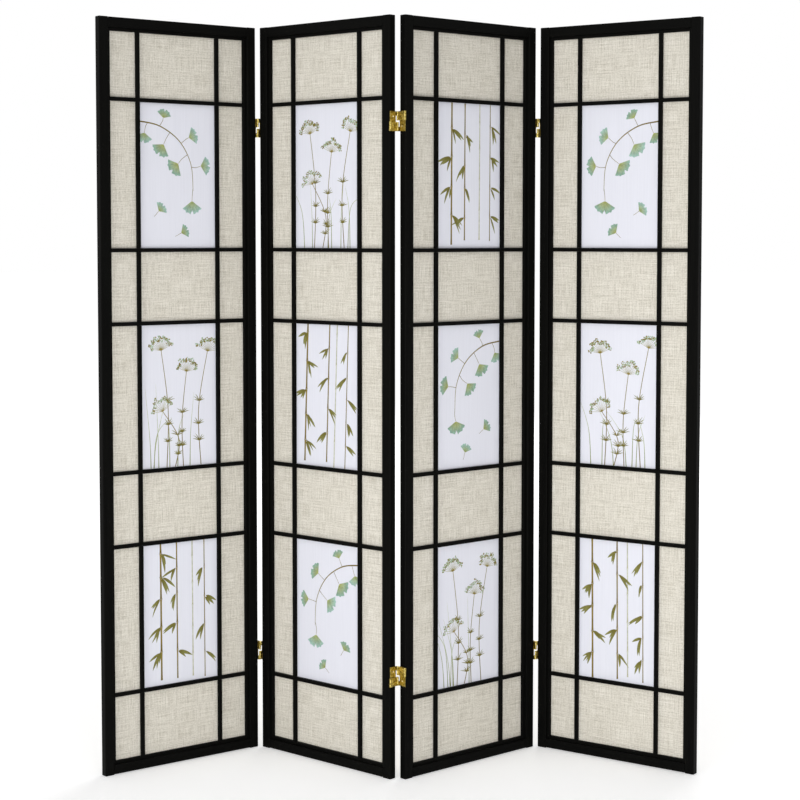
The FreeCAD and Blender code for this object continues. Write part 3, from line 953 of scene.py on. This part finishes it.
def left_leaf():
    """The leaf on the edge of the panel left of the gap; the right one is it turned about y."""
    inner = HALF_WIDTH - PLATE
    plate = prism([(-HALF_WIDTH, 0.0), (-inner, 0.0), (-inner, PANEL_DEPTH),
                   (-HALF_WIDTH, PANEL_DEPTH)], 2, -LEAF_SLOT[1], LEAF_SLOT[1])
    steps = [("UNION", rolled_knuckle(False)), ("UNION", rolled_knuckle(True))]
    for height in (-SCREW_HEIGHT, SCREW_HEIGHT):
        sink = lathe([(SHANK_HOLE, -OVERRUN), (SHANK_HOLE, 0.0),
                      (SCREW_HEAD + SINK_PLAY, PLATE),
                      (SCREW_HEAD + SINK_PLAY, PLATE + OVERRUN)], 24)
        steps.append(("DIFFERENCE", across_x(sink, -HALF_WIDTH, height)))
    return brass_finish(combined(plate, steps), BRASS)


def upper_link():
    """The link of the hinge's upper half; the lower one is it turned about y."""
    half = PLATE / 2.0
    front, back = -AXIS_OUT, PANEL_DEPTH + AXIS_OUT
    plate = prism([(front + NECK, LINK_SLOT[0]), (back - NECK, LINK_SLOT[0]),
                   (back - NECK, LEAF_SLOT[1]), (front + NECK, LEAF_SLOT[1])], 0, -half, half)
    steps = []
    reach = NECK + PLATE
    outline = ([(-half, reach)] + rolled(90, LINK_SEAM)
               + [(half, WEB_MEETS), (half, reach)])
    for axis, inward in ((front, 1.0), (back, -1.0)):
        placed = [(x, axis + inward * y) for x, y in outline]
        steps.append(("UNION", prism(placed, 2, LINK_SLOT[0], LINK_SLOT[1])))
    access = lathe([(ACCESS_RADIUS, -2.0 * OVERRUN), (ACCESS_RADIUS, 2.0 * OVERRUN)], 28)
    steps.append(("DIFFERENCE", across_x(access, 0.0, SCREW_HEIGHT)))
    return brass_finish(combined(plate, steps), BRASS)


def upper_pin():
    """The pin through the knuckles of the hinge's upper half, its ends domed."""
    profile = ([(radius, LINK_SLOT[0] + inset) for radius, inset in PIN_END]
               + [(radius, LEAF_SLOT[1] - inset) for radius, inset in reversed(PIN_END)])
    # The pin takes the paler brass, a painted highlight.
    return brass_finish(lathe(profile, 20), BRASS_PAINTED_HIGHLIGHT)


def cross_screw():
    """A screw with a sunk, domed head and a cross recess, facing up, its rim at z = 0."""
    half, arm = 0.32 * MM, 1.35 * MM
    quarter = [(arm, -half), (arm, 0.0), (arm, half), ((arm + half) / 2.0, half), (half, half),
               (half, (arm + half) / 2.0)]
    cross = []
    for i in range(4):
        turned = Matrix.Rotation(i * math.pi / 2.0, 2)
        cross += [tuple(turned @ Vector(point)) for point in quarter]
    body = bmesh.new()

    def ring_of(points, height):
        return [body.verts.new((x, y, height)) for x, y in points]

    def rim(radius):
        return [(radius * x / math.hypot(x, y), radius * y / math.hypot(x, y)) for x, y in cross]

    top, bottom, taper = RECESS
    rings = [ring_of(rim(radius), height) for radius, height in SCREW_PROFILE]
    rings += [ring_of(cross, top), ring_of([(taper * x, taper * y) for x, y in cross], bottom)]
    walls(body, rings)
    body.faces.new(rings[0])
    body.faces.new(rings[-1])
    # The screw takes the paler brass, a painted highlight.
    return brass_finish(finished_mesh(body), BRASS_PAINTED_HIGHLIGHT)


LEFT_LEAF = left_leaf()
UPPER_LINK = upper_link()
UPPER_PIN = upper_pin()
SCREW = linked("screw", cross_screw())
HALF_TURN = Matrix.Rotation(math.pi, 4, "Y")
SCREW_DICE = random.Random(7)     # the recesses are turned at random


def put(body, mesh, place):
    """Adds a mesh at a place to a build of faces."""
    copy = mesh.copy()
    copy.transform(place)
    body.from_mesh(copy)
    bpy.data.meshes.remove(copy)


def hinge_pieces(panel):
    """The leaves, links, pins and screws that one panel carries."""
    made = {"hinge_leaves": bmesh.new(), "hinge_links": bmesh.new(), "hinge_pins": bmesh.new()}
    width = solids(panel, "right_stile")[0][1].x
    links = solids(panel, "hinge_links")
    heads, turns = [], []
    for low, high in solids(panel, "hinge_leaves"):
        left_of_gap = low.x > width / 2.0
        middle = (low.z + high.z) / 2.0
        place = Matrix.Translation((width + HALF_WIDTH if left_of_gap else -HALF_WIDTH, 0.0,
                                    middle))
        own = place if left_of_gap else place @ HALF_TURN
        put(made["hinge_leaves"], LEFT_LEAF, own)
        # The left leaf holds the upper back pin and the lower front one.
        back = own @ Matrix.Translation((0.0, PANEL_DEPTH + AXIS_OUT, 0.0))
        front = own @ Matrix.Translation((0.0, -AXIS_OUT, 0.0)) @ HALF_TURN
        put(made["hinge_pins"], UPPER_PIN, back)
        put(made["hinge_pins"], UPPER_PIN, front)
        for link_low, link_high in links:
            link_middle = (link_low.z + link_high.z) / 2.0
            same_side = (link_low.x > width / 2.0) == left_of_gap
            if same_side and abs(link_middle - middle) < LEAF_SLOT[1]:
                put(made["hinge_links"], UPPER_LINK,
                    place if link_middle > middle else place @ HALF_TURN)
        facing = 1.0 if left_of_gap else -1.0
        for height in (-SCREW_HEIGHT, SCREW_HEIGHT):
            x = place.translation.x - facing * (HALF_WIDTH - PLATE)
            heads.append((x, SCREW_DEPTH, middle + height))
            turned = (Matrix.Rotation(facing * math.pi / 2.0, 4, "Y")
                      @ Matrix.Rotation(SCREW_DICE.uniform(0.0, math.pi), 4, "Z"))
            turns.append(tuple(turned.to_euler()))
    for kind, body in made.items():
        mesh = bpy.data.meshes.new(kind)
        body.to_mesh(mesh)
        body.free()
        # The pins take the paler brass, a painted highlight.
        mesh.materials.append(BRASS_PAINTED_HIGHLIGHT if kind == "hinge_pins" else BRASS)
        name = node_name(panel, kind)
        stood(name + "_brass", mesh, panel, [name])
    holder = on_points("screws", heads, "turn", turns, SCREWS,
                       {SCREW_KEYS["Screw"]: SCREW, SCREW_KEYS["Finish"]: BRASS_PAINTED_HIGHLIGHT})
    mesh = baked(holder)
    mesh.attributes.remove(mesh.attributes["turn"])
    stood(node_name(panel, "hinge_screws"), mesh, panel)


for panel in PANELS:
    wood_pieces(panel)
    paper_pieces(panel)
    hinge_pieces(panel)
bpy.data.objects.remove(SCREW)


# ---- Floor, light and camera

def seen_directly(tree):
    """1 for rays from the camera and through gloss or glass, and 0 for the rest."""
    rays = add(tree, "ShaderNodeLightPath").outputs
    seen = rays["Is Camera Ray"]
    for kind in ("Is Glossy Ray", "Is Transmission Ray"):
        seen = add(tree, "ShaderNodeMath", {0: seen, 1: rays[kind]},
                   operation="MAXIMUM").outputs[0]
    return seen


def floor():
    """A plain white floor that keeps the screen's shadow. It glows more far away, where it
    meets the white background."""
    mesh = bpy.data.meshes.new("floor")
    mesh.from_pydata([(x * FLOOR_REACH, y * FLOOR_REACH, 0.0)
                      for x, y in ((-1, -1), (1, -1), (1, 1), (-1, 1))], [], [(0, 1, 2, 3)])
    piece = linked("floor", mesh)
    material, tree, surface = finish_of("white_floor", Roughness=0.9, Specular_IOR_Level=0.0)
    surface.inputs["Base Color"].default_value = linear("#F4F4F4")
    place = add(tree, "ShaderNodeTexCoord").outputs["Object"]
    away = add(tree, "ShaderNodeVectorMath", {0: place}, operation="LENGTH").outputs["Value"]
    strength = add(tree, "ShaderNodeMapRange",
                   {"Value": away, "From Min": GLOW_RANGE[0], "From Max": GLOW_RANGE[1],
                    "To Min": FLOOR_GLOW[0], "To Max": FLOOR_GLOW[1]}).outputs[0]
    glow = add(tree, "ShaderNodeMath", {0: seen_directly(tree), 1: strength},
               operation="MULTIPLY")
    tree.links.new(glow.outputs[0], surface.inputs["Emission Strength"])
    surface.inputs["Emission Color"].default_value = (1.0, 1.0, 1.0, 1.0)
    mesh.materials.append(material)


def surroundings():
    """A white background for the camera and for reflections, over soft even light."""
    world = bpy.data.worlds.new("studio")
    scene.world = world
    world.use_nodes = True
    tree = world.node_tree
    tree.nodes.clear()
    strength = add(tree, "ShaderNodeMapRange",
                   {"Value": seen_directly(tree), "To Min": WORLD_LIGHT, "To Max": 1.0})
    light = add(tree, "ShaderNodeBackground",
                {"Color": (1.0, 1.0, 1.0, 1.0), "Strength": strength.outputs[0]})
    add(tree, "ShaderNodeOutputWorld", {"Surface": light.outputs[0]})


def softbox(name, place, aim, size, power):
    """A square area lamp that faces a point."""
    lamp = bpy.data.lights.new(name, "AREA")
    lamp.size = size
    lamp.energy = power
    holder = linked(name, lamp)
    holder.location = place
    holder.rotation_euler = (Vector(aim) - Vector(place)).to_track_quat("-Z", "Y").to_euler()


def camera():
    """The camera at the photograph's viewing angle."""
    data = bpy.data.cameras.new("camera")
    data.sensor_width = SENSOR
    data.lens = LENS
    data.shift_y = CAMERA_SHIFT
    holder = linked("camera", data)
    holder.location = (0.0, -CAMERA_BACK, CAMERA_HEIGHT)
    holder.rotation_euler = (math.pi / 2.0 - CAMERA_TILT, 0.0, 0.0)
    scene.camera = holder


floor()
surroundings()
for lamp in LAMPS:
    softbox(*lamp)
camera()
scene.view_settings.view_transform = "Standard"
